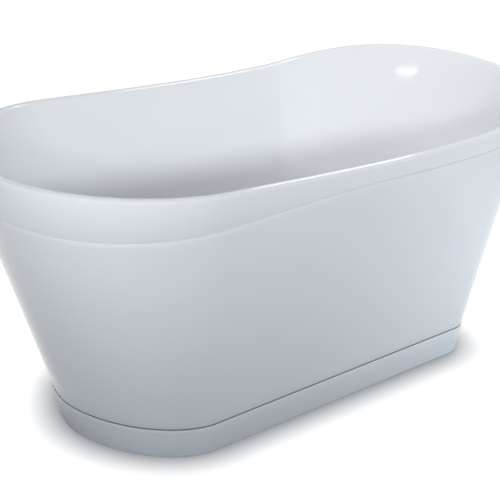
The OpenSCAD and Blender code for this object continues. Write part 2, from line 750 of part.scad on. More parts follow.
cap_stub_d = 34;
module trap_body() {
  bore_d = pipe_d + 2*seat_gap;
  cap_bore_d = cap_stub_d - 8;
  inner_h = trap_top - trap_base - 2*pipe_wall;
  color(PLASTIC) difference() {
    union() {
      at_drain(trap_base) cylinder(d = trap_d, h = trap_top - trap_base, $fn = 96);
      at_drain(trap_top - 1) cylinder(d = collar_d, h = collar_h + 1, $fn = 96);
      along_x(drain_x, 0, trap_axis_z) cylinder(d = collar_d, h = trap_d/2 + stub_len, $fn = 64);
      along_x(drain_x - trap_d/2 - collar_h, 0, cleaning_z)
        cylinder(d = cap_stub_d, h = trap_d/2, $fn = 64);
    }
    at_drain(trap_base + pipe_wall) cylinder(d = trap_d - 2*pipe_wall, h = inner_h, $fn = 96);
    at_drain(trap_base + pipe_wall) cylinder(d = bore_d, h = trap_top, $fn = 96);
    along_x(drain_x + pipe_d/2 + 2, 0, trap_axis_z) cylinder(d = bore_d, h = trap_d, $fn = 64);
    along_x(drain_x - trap_d, 0, cleaning_z) cylinder(d = cap_bore_d, h = trap_d/2 + 4, $fn = 64);
  }
}
module trap_inlet_seal() { at_drain(trap_top + collar_h) pipe_seal(); }
module trap_inlet_nut() { color(PLASTIC) at_drain(trap_top) union_nut(); }

// Screw cap over the stub at the foot side of the trap
module cleaning_cap() {
  cap_t = 3;
  hex_d = 18;
  hex_h = 4;
  color(PLASTIC) along_x(drain_x - trap_d/2 - collar_h - cap_t, 0, cleaning_z) difference() {
    union() {
      cylinder(d = cap_stub_d + 2*nut_wall, h = collar_h, $fn = 24);
      translate([0, 0, -hex_h]) cylinder(d = hex_d, h = hex_h + 1, $fn = 6);
    }
    translate([0, 0, cap_t]) cylinder(d = cap_stub_d + 2*seat_gap, h = collar_h, $fn = 64);
  }
}

module outlet_seal() { along_x(stub_end_x, 0, trap_axis_z) pipe_seal(); }
module outlet_nut() { color(PLASTIC) along_x(stub_end_x - collar_h, 0, trap_axis_z) union_nut(); }

// Pipe from the trap's outlet, with a bend down to the drain in the floor
module outlet_elbow() {
  bore_d = pipe_d - 2*pipe_wall;
  start_x = stub_end_x - collar_h;
  bend_x = outlet_x - outlet_bend_r;
  bend_z = trap_axis_z - outlet_bend_r;
  module run(d, over) {
    along_x(start_x - over, 0, trap_axis_z) cylinder(d = d, h = bend_x - start_x + over, $fn = 64);
    translate([bend_x, 0, bend_z]) rotate([90, 0, 0]) rotate_extrude(angle = 90, $fn = 64)
      translate([outlet_bend_r, 0]) circle(d = d, $fn = 64);
    translate([outlet_x, 0, outlet_end - over]) cylinder(d = d, h = bend_z - outlet_end + over, $fn = 64);
  }
  color(PLASTIC) difference() {
    run(pipe_d, 0);
    run(bore_d, 1);
  }
}

// Overflow. Depths run through the foot wall: below 0 is inside the basin
face_gasket_t = 2;
face_gasket_out = 5;
face_plate_t = 3;
plate_face = -face_stand - face_gasket_t - face_plate_t;
// The knob stands off the plate, so that water gets in behind it
knob_stand = 6;
knob_back = plate_face - knob_stand;
knob_t = 14;
back_gasket_t = 2.5;
back_gasket_out = 3;
body_flange_t = 4;
body_flange_out = 4;
body_face = basin_wall + back_gasket_t;
hose_depth = body_face + overflow_depth/2;
hose_start = overflow_body_d/2 + 8;
hose_grip = 22;
overflow_screw_d = 4;
overflow_screw_y = 17;
// The bridge across the body holds the two screws and guides the knob's stem
bridge_w = 12;
bridge_t = 8;
bridge_depth = body_face + 8;
crank_depth = bridge_depth + bridge_t + 1;

module face_gasket() {
  color(RUBBER) at_overflow() translate([0, 0, -face_stand - face_gasket_t])
    washer(overflow_hole_d + 2*face_gasket_out, overflow_hole_d, face_gasket_t);
}
module back_gasket() {
  color(RUBBER) at_overflow() translate([0, 0, basin_wall])
    washer(overflow_body_d + 2*back_gasket_out, overflow_hole_d, back_gasket_t);
}

module overflow_plate() {
  hub_wall = 3;
  hub_gap = 0.5;
  water_hole_d = 8;
  hole_h = face_plate_t + 2;
  color(CHROME) at_overflow() difference() {
    union() {
      translate([0, 0, plate_face]) cylinder(d = overflow_plate_d, h = face_plate_t, $fn = 96);
      translate([0, 0, knob_back + hub_gap]) cylinder(d = stem_d + 2*hub_wall, h = knob_stand, $fn = 64);
    }
    translate([0, 0, knob_back]) cylinder(d = stem_d + 2*run_gap, h = knob_stand + 2*hole_h, $fn = 48);
    for (a = [0, 45, 135, 180, 225, 315]) rotate([0, 0, a])
      translate([overflow_screw_y + 1, 0, plate_face - 1]) cylinder(d = water_hole_d, h = hole_h, $fn = 32);
    for (s = SIDES) translate([0, s*overflow_screw_y, plate_face - 1])
      cylinder(d = overflow_screw_d + 2*hole_gap, h = hole_h, $fn = 32);
  }
}

// Two screws from the plate into the bridge across the body
module overflow_screws() {
  color(STEEL) at_overflow() for (s = SIDES) translate([0, s*overflow_screw_y, plate_face]) {
    screw(overflow_screw_d, bridge_depth - plate_face + bridge_t - 1);
  }
}

// Round knob with a grip bar, on a stem with a crank that pulls the cable
module overflow_knob() {
  edge = 5;
  dish = 2;
  bar_w = 9;
  bar_in = 5;
  bar_h = 8;
  crank_r = 14;
  crank_w = 6;
  crank_t = 3;
  color(CHROME) at_overflow() {
    translate([0, 0, knob_back]) mirror([0, 0, 1]) rotate_extrude($fn = 96) polygon([
      [0, 0], [knob_d/2 - 1, 0], [knob_d/2, 1],
      for (a = [0:30:90]) [knob_d/2 - edge*(1 - cos(a)), knob_t - edge*(1 - sin(a))],
      [0, knob_t - dish]]);
    translate([0, 0, knob_back - knob_t]) intersection() {
      translate([-bar_w/2, -knob_d/2, dish - edge]) cube([bar_w, knob_d, bar_h]);
      cylinder(d = knob_d - 2*bar_in, h = bar_h, center = true, $fn = 64);
    }
    translate([0, 0, knob_back - 1])
      cylinder(d = stem_d, h = crank_depth + crank_t + 3 - knob_back, $fn = 48);
    translate([0, 0, crank_depth]) linear_extrude(crank_t) union() {
      circle(d = 1.5*stem_d, $fn = 48);
      translate([0, -crank_w/2]) square([crank_r, crank_w]);
      translate([crank_r, 0]) circle(d = crank_w, $fn = 32);
    }
  }
}

// Down along the back of the wall from the overflow's axis, at the hose's depth
module down_wall(y) {
  translate([0, y, hose_depth]) rotate([0, -90, 0]) children();
}

module overflow_body() {
  inner_d = overflow_body_d - 2*pipe_wall;
  flange_d = overflow_body_d + 2*body_flange_out;
  color(PLASTIC) at_overflow() difference() {
    union() {
      translate([0, 0, body_face]) cylinder(d = flange_d, h = body_flange_t, $fn = 96);
      translate([0, 0, body_face]) cylinder(d = overflow_body_d, h = overflow_depth, $fn = 96);
      down_wall(0) cylinder(d = port_d, h = hose_start + hose_grip, $fn = 64);
      down_wall(gland_y) cylinder(d = gland_d, h = hose_start, $fn = 48);
    }
    difference() {
      translate([0, 0, body_face - 1])
        cylinder(d = inner_d, h = overflow_depth + 1 - pipe_wall, $fn = 96);
      translate([-bridge_w/2, -inner_d, bridge_depth]) cube([bridge_w, 2*inner_d, bridge_t]);
    }
    down_wall(0) translate([0, 0, inner_d/4])
      cylinder(d = port_d - 2*port_wall, h = 3*hose_start, $fn = 64);
    translate([0, 0, bridge_depth - 1]) cylinder(d = stem_d + 2*run_gap, h = bridge_t + 2, $fn = 48);
    for (s = SIDES) translate([0, s*overflow_screw_y, bridge_depth - 1])
      cylinder(d = overflow_screw_d + 2*pilot_gap, h = bridge_t + 2, $fn = 32);
  }
}

// Place behind the foot wall: along runs down the wall, depth out through it
function behind_wall(along, y, depth) = [
  overflow_x + along*sin(foot_lean) - depth*cos(foot_lean), y,
  overflow_z - along*cos(foot_lean) - depth*sin(foot_lean)];

// Path of a hose from the overflow body to the waste body: straight, a curve, straight
HOSE_STEPS = 22;
down_reach = 150;
back_reach = 150;
function bezier(p, t) = let (u = 1 - t) u*u*u*p[0] + 3*u*u*t*p[1] + 3*u*t*t*p[2] + t*t*t*p[3];
function hose_curve(y, from, to_x) = let (
    a = behind_wall(from, y, hose_depth),
    b = behind_wall(from + down_reach, y, hose_depth),
    d = [to_x, y, port_z])
  [for (k = [0:HOSE_STEPS]) bezier([a, b, d - [back_reach, 0, 0], d], k/HOSE_STEPS)];

// Hollow tube along a path that stays in a plane of constant y
function path_up(p, k) = let (a = p[max(k - 1, 0)], b = p[min(k + 1, len(p) - 1)], t = unit(b - a))
  [-t[2], 0, t[0]];
function tube_ring(p, k, r, sides) = let (up = path_up(p, k))
  [for (j = [0:sides - 1]) let (a = 360*j/sides) p[k] + r*(cos(a)*up + sin(a)*[0, 1, 0])];
module hollow_tube(p, d, bore, sides) {
  n = len(p);
  ring_solid([
    for (k = [0:n - 1]) tube_ring(p, k, d/2, sides),
    for (k = [n - 1:-1:0]) tube_ring(p, k, bore/2, sides)
  ]);
}

module overflow_pipe() {
  color(PLASTIC) hollow_tube([
    behind_wall(hose_start + seat_gap, 0, hose_depth),
    each hose_curve(0, hose_start + hose_grip, port_x),
    [port_x + hose_grip, 0, port_z]], overflow_pipe_d, hose_bore_d, 16);
}

module control_cable() {
  end_x = port_x + port_len/2 - seat_gap;
  color(DARK) hollow_tube(hose_curve(gland_y, hose_start + seat_gap, end_x), cable_d, cable_d/3, 8);
}

// Band clips that hold the hose on its two spigots
module hose_clip() {
  band = 1.2;
  width = 10;
  housing = 8;
  r = overflow_pipe_d/2 + pilot_gap;
  difference() {
    union() {
      cylinder(r = r + band, h = width, $fn = 64);
      translate([-housing/2, 1 - r - housing, 1]) cube([housing, housing, width - 2]);
    }
    translate([0, 0, -1]) cylinder(r = r, h = width + 2, $fn = 64);
  }
}
module hose_clips() {
  from_end = 6;
  color(STEEL) {
    at_overflow() down_wall(0) translate([0, 0, hose_start + from_end]) hose_clip();
    along_x(port_x + from_end, 0, port_z) hose_clip();
  }
}

basin();
skirt();
plinth();
shadow_gap_strip();
rim_joint_bead();
floor_board();
near_rail();
far_rail();
foot_cross_member();
middle_cross_member();
head_cross_member();
foot_plates();
frame_screws();
skirt_brackets();
skirt_screws();
for (k = [1:len(FEET)]) {
  pad(k);
  stud(k);
  adjuster_nut(k);
  lock_nut(k);
}
drain_flange();
flange_gasket();
waste_gasket();
waste_body();
plug();
plug_seal();
trap_inlet_seal();
trap_inlet_nut();
trap_body();
cleaning_cap();
outlet_seal();
outlet_nut();
outlet_elbow();
overflow_knob();
overflow_plate();
face_gasket();
overflow_body();
back_gasket();
overflow_screws();
overflow_pipe();
hose_clips();
control_cable();
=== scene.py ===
# %% [markdown]
# A freestanding bathtub is a thin moulded basin that hangs in an outer skirt. Both are white
# acrylic, so almost everything that the eye reads comes from shape: the roll of the rim, the
# band under it, the long lean of the skirt and the dark seam above the plinth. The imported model
# gives every piece its place. This script gives the pieces their finish, and it makes the large
# shells again with many more segments, so that light runs over them without facets.

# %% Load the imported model
import json
import math

import bmesh
import bpy
from mathutils import Matrix, Vector


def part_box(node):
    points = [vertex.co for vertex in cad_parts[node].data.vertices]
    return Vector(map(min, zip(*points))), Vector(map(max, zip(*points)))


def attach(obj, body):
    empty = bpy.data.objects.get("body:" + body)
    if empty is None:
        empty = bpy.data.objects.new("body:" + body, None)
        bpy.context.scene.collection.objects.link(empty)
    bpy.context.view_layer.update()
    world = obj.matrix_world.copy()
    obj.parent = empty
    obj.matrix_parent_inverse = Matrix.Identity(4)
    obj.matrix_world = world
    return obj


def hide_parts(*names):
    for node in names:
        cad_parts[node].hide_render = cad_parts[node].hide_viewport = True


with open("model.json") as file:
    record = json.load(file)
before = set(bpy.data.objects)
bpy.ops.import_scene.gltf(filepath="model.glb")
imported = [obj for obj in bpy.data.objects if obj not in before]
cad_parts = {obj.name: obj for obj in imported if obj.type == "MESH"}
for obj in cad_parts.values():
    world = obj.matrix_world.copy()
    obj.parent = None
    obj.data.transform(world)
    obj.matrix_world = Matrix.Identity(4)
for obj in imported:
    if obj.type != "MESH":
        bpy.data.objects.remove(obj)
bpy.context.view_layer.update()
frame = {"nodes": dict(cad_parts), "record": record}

# %% [markdown]
# The outline of the tub from above is a straight side between two rounded ends. The ends are
# superellipses: a power of 2 is an ellipse, and a higher power fills out the corners. A curve
# object could draw such a shape too. A function is used here because it gives the outward
# direction at each step as well, and every wall needs that. All sizes are in millimetres.

# %% One step on a rounded end
MM = 0.001
END_STEPS = 88
SIDE_STEPS = 48
STEPS = 2*(END_STEPS + SIDE_STEPS)
ROUNDING_TRACE = 1e-9


def signed_power(value, power):
    return math.copysign(abs(value)**power, value) if value else 0.0


def without_trace(value):
    """The value, or 0 where rounding left only a trace of one."""
    return 0.0 if abs(value) < ROUNDING_TRACE else value


def end_step(middle_x, length, half_w, power, angle):
    """Point and outward direction on a rounded end."""
    c, s = without_trace(math.cos(angle)), without_trace(math.sin(angle))
    point = Vector((middle_x + length*signed_power(c, 2/power), half_w*signed_power(s, 2/power)))
    k = 2*(power - 1)/power
    outwards = Vector((signed_power(c, k)/length, signed_power(s, k)/half_w)).normalized()
    return point, outwards


print("steps along each outline:", STEPS)

# %% [markdown]
# The rim, the floor and the base each have their own outline with the same number of steps. A
# straight line from a step on one to the same step on another then makes a wall, even where the
# two outlines differ in shape.

# %% The three outlines
def side_steps(x_from, x_to, y, outwards):
    """Points and outward directions along a straight side."""
    return [(Vector((x_from + (x_to - x_from)*(step/SIDE_STEPS), y)), Vector((0, outwards)))
            for step in range(SIDE_STEPS)]


def outline(foot, head, half_w, foot_round, head_round, foot_power, head_power):
    """Points and outward directions, anticlockwise from the near side of the head end."""
    x_head, x_foot = head - head_round, foot_round - foot
    shares = [step/END_STEPS for step in range(END_STEPS)]
    head_end = [end_step(x_head, head_round, half_w, head_power, math.pi*(t - 0.5)) for t in shares]
    foot_end = [end_step(x_foot, foot_round, half_w, foot_power, math.pi*(t + 0.5)) for t in shares]
    return (head_end + side_steps(x_head, x_foot, half_w, 1)
            + foot_end + side_steps(x_foot, x_head, -half_w, -1))


HALF_LEN = 750
BASE_HALF_W = 301
RIM = outline(foot=HALF_LEN, head=HALF_LEN, half_w=422, foot_round=367, head_round=370,
              foot_power=2, head_power=2)
FLOOR = outline(foot=427, head=220, half_w=200, foot_round=150, head_round=130,
                foot_power=2.3, head_power=2.6)
BASE = outline(foot=592, head=529, half_w=BASE_HALF_W, foot_round=228, head_round=120,
               foot_power=1.75, head_power=2.4)
print("outlines of rim, floor and base:", len(RIM), len(FLOOR), len(BASE))

# %% [markdown]
# The rim isn't level. It rises towards both ends, and the band under it grows deeper towards
# the foot end and tucks in there. A smooth step, which starts and ends flat, gives each of
# these changes, as a draughtsman's spline would.

# %% Heights of the rim and the band
RIM_HEIGHT = 666
FOOT_RISE, FOOT_RISE_FROM = 41, 231
HEAD_RISE, HEAD_RISE_FROM = 43, 321
BAND_SIDE, BAND_FOOT, BAND_FROM, BAND_TUCK = 44, 107, 58, 20


def smooth(t):
    u = min(max(t, 0.0), 1.0)
    return u*u*(3 - 2*u)


def mix(a, b, t):
    return a + (b - a)*t


def rim_z(x):
    towards_foot = smooth((FOOT_RISE_FROM - x)/(FOOT_RISE_FROM + HALF_LEN))
    towards_head = smooth((x - HEAD_RISE_FROM)/(HALF_LEN - HEAD_RISE_FROM))
    return RIM_HEIGHT + FOOT_RISE*towards_foot + HEAD_RISE*towards_head


def foot_share(x):
    return smooth((BAND_FROM - x)/(BAND_FROM + HALF_LEN))


def band_z(x):
    return rim_z(x) - mix(BAND_SIDE, BAND_FOOT, foot_share(x))


print("rim from", RIM_HEIGHT, "up to", rim_z(-HALF_LEN), "and", rim_z(HALF_LEN))

# %% [markdown]
# A shell is built from rings, as a potter builds a wall from coils. Each ring is a function
# that gives a place for every step of the outline. The rings are joined into quads, and the
# last one is joined to the first, so the shell is closed and has a real thickness. This is
# plain mesh code and not a subdivided cage, because the seams have to stay exactly where the
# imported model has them.

# %% Shells from rings
SHELL_SHARP = math.radians(50)


def shell(name, rings):
    """Closed mesh through rings of points in millimetres."""
    count = len(rings)
    bm = bmesh.new()
    rows = [[bm.verts.new(Vector(point)*MM) for point in ring] for ring in rings]
    for k in range(count):
        here, after = rows[k], rows[(k + 1) % count]
        for i in range(STEPS):
            j = (i + 1) % STEPS
            bm.faces.new((here[i], here[j], after[j], after[i]))
    bmesh.ops.recalc_face_normals(bm, faces=bm.faces)
    mesh = bpy.data.meshes.new(name)
    bm.to_mesh(mesh)
    bm.free()
    mesh.shade_smooth()
    mesh.set_sharp_from_angle(angle=SHELL_SHARP)
    piece = bpy.data.objects.new(name, mesh)
    bpy.context.scene.collection.objects.link(piece)
    print(name, len(mesh.polygons), "faces")
    return piece


def plan_ring(plan, out, z):
    """Level ring, moved outwards from an outline."""
    return [(*(point + out*normal), z) for point, normal in plan]


def band_ring(inside, above):
    """Ring on the band's lower edge, moved inside its face and up."""
    ring = []
    for point, normal in RIM:
        place = point - normal*(BAND_TUCK*foot_share(point.x) + inside)
        ring.append((*place, band_z(point.x) + above))
    return ring


def rings_between(upper, lower, count):
    """Rings in straight lines from one ring to another, with both of them."""
    return [[tuple(mix(a, b, k/count) for a, b in zip(p, q)) for p, q in zip(upper, lower)]
            for k in range(count + 1)]


# %% [markdown]
# The basin's section runs from the drain across the floor, up the wall, over the roll, down the
# band and back behind it all. A wall leaves the roll on a straight line, so the roll has to
# end at the angle of that line. Lower down a curve that starts along the wall and ends along
# the floor makes the soft bend where the wall turns into the floor.

# %% The roll and the wall
ROLL_R = 11
WALL = 7
FLOOR_Z, FLOOR_FALL = 150, 4
WALL_RUN, WALL_STRAIGHT = 0.78, 0.72


def wall_lean(i):
    """Angle of the wall from upright at a step, in radians."""
    top, normal = RIM[i]
    run = (top - FLOOR[i][0]).dot(normal) - 2*ROLL_R
    return math.atan2(WALL_RUN*run, rim_z(top.x) - ROLL_R - FLOOR_Z)


def roll_point(i, angle):
    """Place on the roll. Angle 0 is its outer side, and 90 degrees is its top."""
    top, normal = RIM[i]
    place = top + normal*(ROLL_R*math.cos(angle) - ROLL_R)
    return Vector((*place, rim_z(top.x) - ROLL_R + ROLL_R*math.sin(angle)))


def wall_share(t, corner):
    """Share of the way down (or inwards) at t, with a bend that starts at t = 0.5."""
    if t < 0.5:
        return corner*WALL_STRAIGHT*2*t
    s = 2*t - 1
    straight_end = corner*WALL_STRAIGHT
    return mix(mix(straight_end, corner, s), mix(corner, 1, s), s)


def wall_ring(t, out=0.0, drop=0.0):
    """Ring on the wall, from the roll at t = 0 to the floor's edge at t = 1."""
    ring = []
    inwards, down = wall_share(t, WALL_RUN), wall_share(t, 1)
    for i in range(STEPS):
        top = roll_point(i, math.pi - wall_lean(i))
        floor, normal = FLOOR[i][0], RIM[i][1]
        ring.append((mix(top.x, floor.x, inwards) + normal.x*out,
                     mix(top.y, floor.y, inwards) + normal.y*out,
                     mix(top.z, FLOOR_Z, down) - drop))
    return ring


print("the wall leans by", round(math.degrees(wall_lean(END_STEPS)), 1), "degrees at the side")

# %% [markdown]
# Water has to find the drain, so the floor falls by a few millimetres from its edge to the seat
# of the drain's flange. Each ring on the floor is a blend of the floor's own outline and a
# circle round the drain. The band's face leaves the roll upright and bends in a little towards
# the foot end, so it's a curve and not a straight line.

# %% The floor and the band's face
DRAIN = Vector((-330, 0))
DRAIN_HOLE_R, DRAIN_SEAT_R = 26, 37
BAND_WALL = 6
BAND_EDGE_R, BAND_EDGE_CUT = 1.5, 0.45


def floor_ring(share, radius, fall, drop=0.0):
    """Ring on the floor, a share of the way from its edge to a circle round the drain."""
    ring = []
    for point, _ in FLOOR:
        circle = DRAIN + (point - DRAIN).normalized()*radius
        place = point.lerp(circle, share)
        ring.append((*place, FLOOR_Z - fall - drop))
    return ring


def sloping_ring(share, drop=0.0):
    """Ring on the slope between the floor's edge and the drain's seat."""
    return floor_ring(share, DRAIN_SEAT_R, FLOOR_FALL*share, drop)


def band_face_ring(t):
    """Ring down the band's face, which ends on the rounded edge of the band."""
    ring = []
    for top, normal in RIM:
        tuck = BAND_TUCK*foot_share(top.x)
        high, low = rim_z(top.x) - ROLL_R, band_z(top.x) + BAND_EDGE_R
        ring.append((*(top - normal*tuck*t*t), mix(high, low, t)))
    return ring


print("the floor falls by", FLOOR_FALL, "mm to the drain at", tuple(DRAIN))

# %% [markdown]
# With those rings the basin is one pass along its section, seen side first and hidden side
# after. Most rings lie where the surface bends. The straight parts need few.

# %% The basin in one pass
FLOOR_RINGS, BEND_RINGS, STRAIGHT_RINGS, ROLL_RINGS, FACE_RINGS, UNDER_RINGS = 20, 28, 8, 24, 12, 10
DRAIN_EDGE = ((0, 1.2), (0.4, 0.3), (1.4, 0))
SEAT_EDGE = 3
ROLL_DEPTH = 2.4*ROLL_R


def seen_rings():
    """From the drain hole over the floor, up the wall, over the roll and down the band."""
    rings = [floor_ring(1, DRAIN_HOLE_R, FLOOR_FALL + WALL - 1)]
    rings += [floor_ring(1, DRAIN_HOLE_R + out, FLOOR_FALL + down) for out, down in DRAIN_EDGE]
    rings += [floor_ring(1, DRAIN_SEAT_R - SEAT_EDGE, FLOOR_FALL), sloping_ring(1)]
    rings += [sloping_ring(1 - k/FLOOR_RINGS) for k in range(1, FLOOR_RINGS)]
    rings += [wall_ring(0.5 + k/(2*BEND_RINGS)) for k in range(BEND_RINGS, 0, -1)]
    rings += [wall_ring(k/(2*STRAIGHT_RINGS)) for k in range(STRAIGHT_RINGS, 0, -1)]
    for k in range(ROLL_RINGS, -1, -1):
        rings.append([roll_point(i, (math.pi - wall_lean(i))*k/ROLL_RINGS) for i in range(STEPS)])
    return rings + [band_face_ring(k/FACE_RINGS) for k in range(1, FACE_RINGS + 1)]


def hidden_rings():
    """Under the band, up behind it, down behind the wall and back under the floor."""
    rings = [band_ring(BAND_EDGE_CUT, BAND_EDGE_CUT), band_ring(BAND_EDGE_R, 0),
             band_ring(BAND_WALL - 1, 0), band_ring(BAND_WALL, 1)]
    rings.append([(x, y, rim_z(RIM[i][0].x) - ROLL_DEPTH)
                  for i, (x, y, _) in enumerate(band_ring(BAND_WALL, 0))])
    rings.append([(x, y, z - ROLL_R) for x, y, z in wall_ring(0, out=WALL)])
    rings += [wall_ring(k/(2*STRAIGHT_RINGS), out=WALL) for k in range(1, STRAIGHT_RINGS + 1)]
    for k in range(1, BEND_RINGS + 1):
        s = k/BEND_RINGS
        rings.append(wall_ring(0.5 + s/2, out=WALL*(1 - s), drop=WALL*s))
    rings += [sloping_ring(k/UNDER_RINGS, drop=WALL) for k in range(1, UNDER_RINGS + 1)]
    return rings + [floor_ring(1, DRAIN_HOLE_R + 1, FLOOR_FALL, drop=WALL)]


basin = shell("basin_shell", seen_rings() + hidden_rings())

# %% [markdown]
# The skirt is one tall ring. It begins on a tongue behind the band, comes out to a shoulder
# flush with the band, and runs down in straight lines to its lower edge, where a flange turns
# inwards for the screws. Every outer edge gets a radius of a millimetre or so: an edge without
# one shows no line of light, and that is what makes a render look like paper.

# %% Skirt
SKIRT_WALL = 5
TONGUE_HEIGHT = 14
SEAT_GAP, JOINT_GAP = 0.3, 1.6
SHOULDER_R, SHOULDER_CUT = 0.4, 0.12
EDGE_R, EDGE_CUT = 1.2, 0.35
FILLET_R, FILLET_CUT = 3, 0.8
PLINTH_HEIGHT, SHADOW_GAP, FLANGE_W, FLANGE_T = 80, 4, 30, 5
SKIRT_Z = PLINTH_HEIGHT + SHADOW_GAP
FLANGE_Z = SKIRT_Z + FLANGE_T


def skirt_rings():
    tongue = BAND_WALL + SEAT_GAP
    inner = tongue + SKIRT_WALL
    shoulder = band_ring(0, -JOINT_GAP - SHOULDER_R)
    outer_foot = plan_ring(BASE, 0, SKIRT_Z + EDGE_R)
    inner_foot = plan_ring(BASE, -SKIRT_WALL, FLANGE_Z + FILLET_R)
    inner_top = band_ring(inner, -JOINT_GAP - 2*SKIRT_WALL)
    return [band_ring(tongue, TONGUE_HEIGHT), band_ring(tongue, -JOINT_GAP),
            band_ring(SHOULDER_R, -JOINT_GAP), band_ring(SHOULDER_CUT, -JOINT_GAP - SHOULDER_CUT),
            *rings_between(shoulder, outer_foot, 40),
            plan_ring(BASE, -EDGE_CUT, SKIRT_Z + EDGE_CUT), plan_ring(BASE, -EDGE_R, SKIRT_Z),
            plan_ring(BASE, -FLANGE_W, SKIRT_Z), plan_ring(BASE, -FLANGE_W, FLANGE_Z),
            plan_ring(BASE, -SKIRT_WALL - FILLET_R, FLANGE_Z),
            plan_ring(BASE, -SKIRT_WALL - FILLET_CUT, FLANGE_Z + FILLET_CUT),
            *rings_between(inner_foot, inner_top, 12),
            band_ring(inner, TONGUE_HEIGHT)]


skirt = shell("skirt_shell", skirt_rings())

# %% [markdown]
# The plinth is a low ring that draws in towards the floor and stops just above it, so that the
# tub's weight stands on the feet and not on a thin edge. Its lower corner is a quarter circle.

# %% Plinth
PLINTH_LIFT, PLINTH_TUCK, PLINTH_CORNER = 2, 12, 4
CORNER_RINGS = 5


def plinth_rings():
    toe = PLINTH_TUCK + SKIRT_WALL + 1
    upper = plan_ring(BASE, 0, PLINTH_HEIGHT - EDGE_R)
    lower = plan_ring(BASE, -PLINTH_TUCK, PLINTH_LIFT + PLINTH_CORNER)
    rings = [plan_ring(BASE, -EDGE_R, PLINTH_HEIGHT),
             plan_ring(BASE, -EDGE_CUT, PLINTH_HEIGHT - EDGE_CUT),
             *rings_between(upper, lower, 8)]
    for k in range(1, CORNER_RINGS + 1):
        angle = math.pi/2*k/CORNER_RINGS
        rings.append(plan_ring(BASE, -PLINTH_TUCK - PLINTH_CORNER*(1 - math.cos(angle)),
                               PLINTH_LIFT + PLINTH_CORNER*(1 - math.sin(angle))))
    return rings + [plan_ring(BASE, -toe, PLINTH_LIFT),
                    plan_ring(BASE, -toe, PLINTH_LIFT + 2*PLINTH_CORNER),
                    plan_ring(BASE, -SKIRT_WALL, PLINTH_HEIGHT - FLANGE_T),
                    plan_ring(BASE, -FLANGE_W, PLINTH_HEIGHT - FLANGE_T),
                    plan_ring(BASE, -FLANGE_W, PLINTH_HEIGHT)]


plinth = shell("plinth_shell", plinth_rings())

# %% [markdown]
# Two thin rings fill the joints. A strip lies back in the gap above the plinth: the recess throws
# real shadow, and the strip's dark grey is painted shade that deepens the seam. A bead of sealant
# closes the joint under the band. Its face is hollow, as a finger leaves it.

# %% Strip and bead
STRIP_RECESS, BEAD_RECESS, HOLLOW, BEAD_SKIN = 3, 1.2, 0.5, 0.1


def strip_rings():
    deep = STRIP_RECESS + HOLLOW
    section = [(STRIP_RECESS, SKIRT_Z), (deep, SKIRT_Z - 1), (deep, PLINTH_HEIGHT + 1),
               (STRIP_RECESS, PLINTH_HEIGHT), (FLANGE_W, PLINTH_HEIGHT), (FLANGE_W, SKIRT_Z)]
    return [plan_ring(BASE, -inside, z) for inside, z in section]


def bead_rings():
    high, low = -BEAD_SKIN, BEAD_SKIN - JOINT_GAP
    return [band_ring(BEAD_RECESS, high), band_ring(BEAD_RECESS + HOLLOW, -JOINT_GAP/2),
            band_ring(BEAD_RECESS, low), band_ring(BAND_WALL, low), band_ring(BAND_WALL, high)]


strip = shell("shadow_gap_ring", strip_rings())
bead = shell("rim_joint_ring", bead_rings())

# %% [markdown]
# Four screws go down through the bracket, the skirt, the strip and the plinth, and the overflow
# goes out through the foot wall. These holes are cut with a Boolean, because each is a round
# hole through a finished wall, and the exact solver keeps the shells closed.

# %% Tools for holes
def peg(start, end, radius, segments=48):
    """Closed cylinder between two places, used only as a cutting tool."""
    axis = Vector(end) - Vector(start)
    bm = bmesh.new()
    turn = axis.to_track_quat("Z", "Y").to_matrix().to_4x4()
    place = Matrix.Translation((Vector(start) + axis/2)*MM) @ turn
    bmesh.ops.create_cone(bm, cap_ends=True, segments=segments, radius1=radius*MM,
                          radius2=radius*MM, depth=axis.length*MM, matrix=place)
    return bm


def cut_away(piece, pegs):
    """Cut all the pegs out of a piece."""
    tool_mesh = bpy.data.meshes.new("holes")
    joined = bmesh.new()
    for bm in pegs:
        part = bpy.data.meshes.new("hole")
        bm.to_mesh(part)
        bm.free()
        joined.from_mesh(part)
        bpy.data.meshes.remove(part)
    joined.to_mesh(tool_mesh)
    joined.free()
    tool = bpy.data.objects.new("holes", tool_mesh)
    bpy.context.scene.collection.objects.link(tool)
    cut = piece.modifiers.new("holes", "BOOLEAN")
    cut.operation, cut.solver, cut.object = "DIFFERENCE", "EXACT", tool
    depsgraph = bpy.context.evaluated_depsgraph_get()
    whole = bpy.data.meshes.new_from_object(piece.evaluated_get(depsgraph))
    piece.modifiers.clear()
    old = piece.data
    piece.data = whole
    whole.name = piece.name
    bpy.data.meshes.remove(old)
    bpy.data.objects.remove(tool)
    bpy.data.meshes.remove(tool_mesh)
    print(piece.name, "cut,", len(whole.polygons), "faces")


# %% [markdown]
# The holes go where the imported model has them. The overflow's axis stands square on the foot
# wall, so its direction follows from that wall's lean.

# %% Holes for the screws and the overflow
BRACKET_X = (-200, 250)
SKIRT_SCREW_Y = BASE_HALF_W - (SKIRT_WALL + FLANGE_W)/2
SCREW_HOLE_R, SCREW_FROM_Z, SCREW_TO_Z = 3.0, 68, 96
screw_places = [(x, side*SKIRT_SCREW_Y) for x in BRACKET_X for side in (-1, 1)]
for piece in (skirt, plinth, strip):
    cut_away(piece, [peg((x, y, SCREW_FROM_Z), (x, y, SCREW_TO_Z), SCREW_HOLE_R)
                     for x, y in screw_places])

